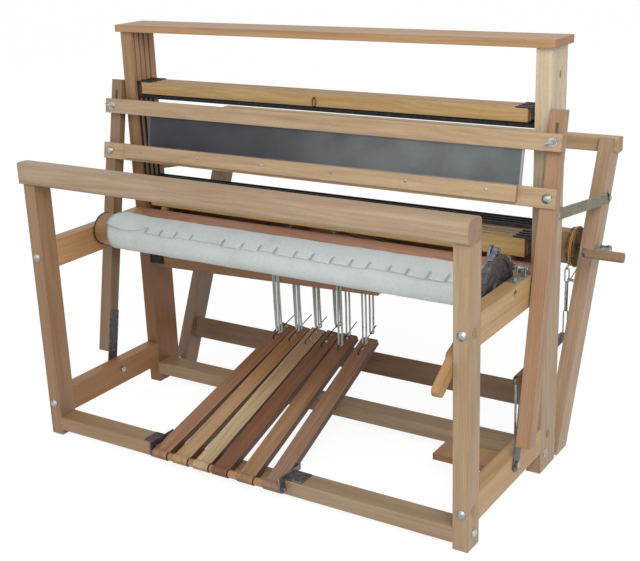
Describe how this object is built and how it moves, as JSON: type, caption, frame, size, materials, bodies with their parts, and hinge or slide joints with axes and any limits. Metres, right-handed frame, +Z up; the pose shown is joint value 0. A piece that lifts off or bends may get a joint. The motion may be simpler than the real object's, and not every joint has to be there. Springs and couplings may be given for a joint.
{
  "type": "floor loom",
  "caption": "Folding wooden jack floor loom with beater, harnesses, treadles, cloth beam with ratchet, and cranked warp beam with brake.",
  "frame": {"origin": "on the floor, under the centre of the loom's bounding box", "axes": "+X to the weaver's right across the loom, +Y from the weaver to the back, +Z up"},
  "size_m": [1.537, 1.0458, 1.145],
  "materials": {
    "birch": "clear satin varnish over honey birch",
    "red_wood": "oiled red-brown hardwood",
    "tan_wood": "worn varnished wood",
    "pale_wood": "pale yellow waxed wood",
    "canvas": "white cotton canvas",
    "cord": "white braided cord",
    "zinc": "bright zinc plate",
    "dark_steel": "dark worn steel",
    "reed_steel": "blue-grey reed wire",
    "cable": "brass-coloured wire rope",
    "brace_paint": "grey-green painted flat steel"
  },
  "bodies": {
    "frame": {"front_posts": "birch", "castle_posts": "birch", "side_rails": "birch", "castle_cap": "birch", "breast_beam": "birch", "crossbars": "birch", "jack_boards": "red_wood", "treadle_hinge": "dark_steel", "fasteners": "zinc", "tabby_ties": "cord"},
    "cloth_roll": {"cloth_beam": "red_wood", "cloth_apron": "canvas", "ratchet_wheel": "dark_steel"},
    "advance_lever": {"advance_lever": "dark_steel"},
    "advance_pawl": {"advance_pawl": "dark_steel"},
    "holding_pawl": {"holding_pawl": "dark_steel"},
    "beater": {"beater_swords": "birch", "lower_beater_bar": "birch", "shuttle_race": "birch", "reed": "reed_steel"},
    "beater_top": {"upper_beater_bar": "birch"},
    "back_frame": {"back_legs": "birch", "back_beam": "birch", "rear_crossbar": "birch", "brake_cable": "cable"},
    "warp_roll": {"warp_beam": "red_wood", "brake_drum": "dark_steel", "crank_arm": "zinc"},
    "crank_handle": {"crank_handle": "tan_wood"},
    "brake_pedal": {"brake_pedal": "tan_wood"},
    "brake_rod": {"brake_rod": "zinc"},
    "brake_lever": {"brake_lever": "red_wood"},
    "brake_chain": {"brake_chain": "zinc"},
    "braces": {"braces": "brace_paint"},
    "harness_1": {"harness_1": "pale_wood"},
    "left_jack_1": {"left_jack_1": "tan_wood"},
    "right_jack_1": {"right_jack_1": "tan_wood"},
    "lamm_1": {"lamm_1": "red_wood"},
    "treadle_1": {"treadle_1": "tan_wood"},
    "tie_1": {"tie_1": "cord"},
    "harness_2": {"harness_2": "pale_wood"},
    "left_jack_2": {"left_jack_2": "tan_wood"},
    "right_jack_2": {"right_jack_2": "tan_wood"},
    "lamm_2": {"lamm_2": "red_wood"},
    "treadle_2": {"treadle_2": "tan_wood"},
    "tie_2": {"tie_2": "cord"},
    "harness_3": {"harness_3": "pale_wood"},
    "left_jack_3": {"left_jack_3": "tan_wood"},
    "right_jack_3": {"right_jack_3": "tan_wood"},
    "lamm_3": {"lamm_3": "red_wood"},
    "treadle_3": {"treadle_3": "tan_wood"},
    "tie_3": {"tie_3": "cord"},
    "harness_4": {"harness_4": "pale_wood"},
    "left_jack_4": {"left_jack_4": "tan_wood"},
    "right_jack_4": {"right_jack_4": "tan_wood"},
    "lamm_4": {"lamm_4": "red_wood"},
    "treadle_4": {"treadle_4": "tan_wood"},
    "tie_4": {"tie_4": "cord"},
    "treadle_5": {"treadle_5": "tan_wood"},
    "treadle_6": {"treadle_6": "tan_wood"}
  },
  "joints": [
    {"name": "harness_1_lift", "type": "slide", "parent": "frame", "child": "harness_1", "axis": [0, 0, 1], "range_m": [0, 0.064]},
    {"name": "left_jack_1_pivot", "type": "hinge", "parent": "frame", "child": "left_jack_1", "pos_m": [-0.3645, 0.00311, 0.535], "axis": [0, 1, 0], "range_deg": [0, 14.96]},
    {"name": "right_jack_1_pivot", "type": "hinge", "parent": "frame", "child": "right_jack_1", "pos_m": [0.2755, 0.00311, 0.535], "axis": [0, -1, 0], "range_deg": [0, 14.96]},
    {"name": "lamm_1_pivot", "type": "hinge", "parent": "frame", "child": "lamm_1", "pos_m": [-0.6445, 0.00311, 0.423], "axis": [0, 1, 0], "range_deg": [0, 6.58]},
    {"name": "treadle_1_pivot", "type": "hinge", "parent": "frame", "child": "treadle_1", "pos_m": [-0.2875, -0.4699, 0.04], "axis": [-1, 0, 0], "range_deg": [0, 5.42]},
    {"name": "tie_1_swing", "type": "hinge", "parent": "lamm_1", "child": "tie_1", "pos_m": [-0.20274, -0.00639, 0.43766], "axis": [0, -1, 0], "range_deg": [0, 6.58]},
    {"name": "harness_2_lift", "type": "slide", "parent": "frame", "child": "harness_2", "axis": [0, 0, 1], "range_m": [0, 0.064]},
    {"name": "left_jack_2_pivot", "type": "hinge", "parent": "frame", "child": "left_jack_2", "pos_m": [-0.3645, 0.02411, 0.535], "axis": [0, 1, 0], "range_deg": [0, 14.96]},
    {"name": "right_jack_2_pivot", "type": "hinge", "parent": "frame", "child": "right_jack_2", "pos_m": [0.2755, 0.02411, 0.535], "axis": [0, -1, 0], "range_deg": [0, 14.96]},
    {"name": "lamm_2_pivot", "type": "hinge", "parent": "frame", "child": "lamm_2", "pos_m": [-0.6445, 0.02411, 0.423], "axis": [0, 1, 0], "range_deg": [0, 6.58]},
    {"name": "treadle_2_pivot", "type": "hinge", "parent": "frame", "child": "treadle_2", "pos_m": [-0.2155, -0.4699, 0.04], "axis": [-1, 0, 0], "range_deg": [0, 5.87]},
    {"name": "tie_2_swing", "type": "hinge", "parent": "lamm_2", "child": "tie_2", "pos_m": [-0.14602, 0.0146, 0.43954], "axis": [0, -1, 0], "range_deg": [0, 6.58]},
    {"name": "harness_3_lift", "type": "slide", "parent": "frame", "child": "harness_3", "axis": [0, 0, 1], "range_m": [0, 0.064]},
    {"name": "left_jack_3_pivot", "type": "hinge", "parent": "frame", "child": "left_jack_3", "pos_m": [-0.3645, 0.0451, 0.535], "axis": [0, 1, 0], "range_deg": [0, 14.96]},
    {"name": "right_jack_3_pivot", "type": "hinge", "parent": "frame", "child": "right_jack_3", "pos_m": [0.2755, 0.0451, 0.535], "axis": [0, -1, 0], "range_deg": [0, 14.96]},
    {"name": "lamm_3_pivot", "type": "hinge", "parent": "frame", "child": "lamm_3", "pos_m": [-0.6445, 0.0451, 0.423], "axis": [0, 1, 0], "range_deg": [0, 6.58]},
    {"name": "treadle_3_pivot", "type": "hinge", "parent": "frame", "child": "treadle_3", "pos_m": [-0.1445, -0.4699, 0.04], "axis": [-1, 0, 0], "range_deg": [0, 6.28]},
    {"name": "tie_3_swing", "type": "hinge", "parent": "lamm_3", "child": "tie_3", "pos_m": [-0.08992, 0.0356, 0.4414], "axis": [0, -1, 0], "range_deg": [0, 6.58]},
    {"name": "harness_4_lift", "type": "slide", "parent": "frame", "child": "harness_4", "axis": [0, 0, 1], "range_m": [0, 0.064]},
    {"name": "left_jack_4_pivot", "type": "hinge", "parent": "frame", "child": "left_jack_4", "pos_m": [-0.3645, 0.0661, 0.535], "axis": [0, 1, 0], "range_deg": [0, 14.96]},
    {"name": "right_jack_4_pivot", "type": "hinge", "parent": "frame", "child": "right_jack_4", "pos_m": [0.2755, 0.0661, 0.535], "axis": [0, -1, 0], "range_deg": [0, 14.96]},
    {"name": "lamm_4_pivot", "type": "hinge", "parent": "frame", "child": "lamm_4", "pos_m": [-0.6445, 0.0661, 0.423], "axis": [0, 1, 0], "range_deg": [0, 6.58]},
    {"name": "treadle_4_pivot", "type": "hinge", "parent": "frame", "child": "treadle_4", "pos_m": [-0.0815, -0.4699, 0.04], "axis": [-1, 0, 0], "range_deg": [0, 6.65]},
    {"name": "tie_4_swing", "type": "hinge", "parent": "lamm_4", "child": "tie_4", "pos_m": [-0.03399, 0.05661, 0.44325], "axis": [0, -1, 0], "range_deg": [0, 6.58]},
    {"name": "treadle_5_pivot", "type": "hinge", "parent": "frame", "child": "treadle_5", "pos_m": [0.0025, -0.4699, 0.04], "axis": [-1, 0, 0], "range_deg": [0, 9], "stiffness_Nm_per_rad": 20, "springref_deg": -5.73, "deforming": ["tabby_ties"]},
    {"name": "treadle_6_pivot", "type": "hinge", "parent": "frame", "child": "treadle_6", "pos_m": [0.0865, -0.4699, 0.04], "axis": [-1, 0, 0], "range_deg": [0, 9.51], "stiffness_Nm_per_rad": 20, "springref_deg": -5.73},
    {"name": "cloth_roll_turn", "type": "hinge", "parent": "frame", "child": "cloth_roll", "pos_m": [-0.0445, -0.20189, 0.571], "axis": [1, 0, 0], "continuous": true},
    {"name": "advance_lever_turn", "type": "hinge", "parent": "frame", "child": "advance_lever", "pos_m": [0.5555, -0.20189, 0.571], "axis": [1, 0, 0], "range_deg": [-10, 25]},
    {"name": "advance_pawl_lift", "type": "hinge", "parent": "advance_lever", "child": "advance_pawl", "pos_m": [0.5825, -0.20189, 0.672], "axis": [-1, 0, 0], "range_deg": [0, 35]},
    {"name": "holding_pawl_lift", "type": "hinge", "parent": "frame", "child": "holding_pawl", "pos_m": [0.5825, -0.1059, 0.603], "axis": [-1, 0, 0], "range_deg": [0, 35]},
    {"name": "beater_swing", "type": "hinge", "parent": "frame", "child": "beater", "pos_m": [-0.0445, -0.17989, 0.108], "axis": [1, 0, 0], "range_deg": [0, 22]},
    {"name": "beater_top_lift", "type": "slide", "parent": "beater", "child": "beater_top", "axis": [0, 0.1874, 0.9823], "range_m": [0, 0.025]},
    {"name": "back_fold", "type": "hinge", "parent": "frame", "child": "back_frame", "pos_m": [-0.0445, 0.1001, 0.04], "axis": [1, 0, 0], "range_deg": [0, 22], "deforming": ["brake_cable"]},
    {"name": "warp_roll_turn", "type": "hinge", "parent": "back_frame", "child": "warp_roll", "pos_m": [-0.0445, 0.37943, 0.52003], "axis": [1, 0, 0], "continuous": true},
    {"name": "crank_handle_spin", "type": "hinge", "parent": "warp_roll", "child": "crank_handle", "pos_m": [0.7095, 0.18537, 0.56841], "axis": [1, 0, 0], "continuous": true},
    {"name": "brace_drop", "type": "hinge", "parent": "frame", "child": "braces", "pos_m": [-0.0445, 0.0381, 0.705], "axis": [-1, 0, 0], "range_deg": [0, 16.83]},
    {"name": "brake_pedal_press", "type": "hinge", "parent": "frame", "child": "brake_pedal", "pos_m": [0.5695, -0.30589, 0.078], "axis": [-1, 0, 0], "range_deg": [0, 2.99], "stiffness_Nm_per_rad": 40, "springref_deg": -5.73},
    {"name": "brake_rod_drop", "type": "slide", "parent": "frame", "child": "brake_rod", "axis": [0, 0, -1], "range_m": [0, 0.01453]},
    {"name": "brake_lever_turn", "type": "hinge", "parent": "frame", "child": "brake_lever", "pos_m": [0.5695, 0.0791, 0.272], "axis": [1, 0, 0], "range_deg": [0, 7.43]},
    {"name": "brake_chain_turn", "type": "hinge", "parent": "brake_lever", "child": "brake_chain", "pos_m": [0.5695, 0.31503, 0.276], "axis": [-1, 0, 0], "range_deg": [0, 7.43]}
  ],
  "couplings": [
    {"joint": "left_jack_1_pivot", "follows": "harness_1_lift", "rad_per_m": 4},
    {"joint": "right_jack_1_pivot", "follows": "harness_1_lift", "rad_per_m": 4},
    {"joint": "lamm_1_pivot", "follows": "harness_1_lift", "rad_per_m": 1.76},
    {"joint": "treadle_1_pivot", "follows": "harness_1_lift", "rad_per_m": 1.4484},
    {"joint": "tie_1_swing", "follows": "harness_1_lift", "rad_per_m": 1.76},
    {"joint": "left_jack_2_pivot", "follows": "harness_2_lift", "rad_per_m": 4},
    {"joint": "right_jack_2_pivot", "follows": "harness_2_lift", "rad_per_m": 4},
    {"joint": "lamm_2_pivot", "follows": "harness_2_lift", "rad_per_m": 1.76},
    {"joint": "treadle_2_pivot", "follows": "harness_2_lift", "rad_per_m": 1.569},
    {"joint": "tie_2_swing", "follows": "harness_2_lift", "rad_per_m": 1.76},
    {"joint": "left_jack_3_pivot", "follows": "harness_3_lift", "rad_per_m": 4},
    {"joint": "right_jack_3_pivot", "follows": "harness_3_lift", "rad_per_m": 4},
    {"joint": "lamm_3_pivot", "follows": "harness_3_lift", "rad_per_m": 1.76},
    {"joint": "treadle_3_pivot", "follows": "harness_3_lift", "rad_per_m": 1.6783},
    {"joint": "tie_3_swing", "follows": "harness_3_lift", "rad_per_m": 1.76},
    {"joint": "left_jack_4_pivot", "follows": "harness_4_lift", "rad_per_m": 4},
    {"joint": "right_jack_4_pivot", "follows": "harness_4_lift", "rad_per_m": 4},
    {"joint": "lamm_4_pivot", "follows": "harness_4_lift", "rad_per_m": 1.76},
    {"joint": "treadle_4_pivot", "follows": "harness_4_lift", "rad_per_m": 1.7788},
    {"joint": "tie_4_swing", "follows": "harness_4_lift", "rad_per_m": 1.76},
    {"joint": "brace_drop", "follows": "back_fold", "ratio": 0.75},
    {"joint": "brake_rod_drop", "follows": "brake_pedal_press", "m_per_rad": 0.273},
    {"joint": "brake_lever_turn", "follows": "brake_pedal_press", "ratio": 2.4375},
    {"joint": "brake_chain_turn", "follows": "brake_pedal_press", "ratio": 2.4375}
  ]
}
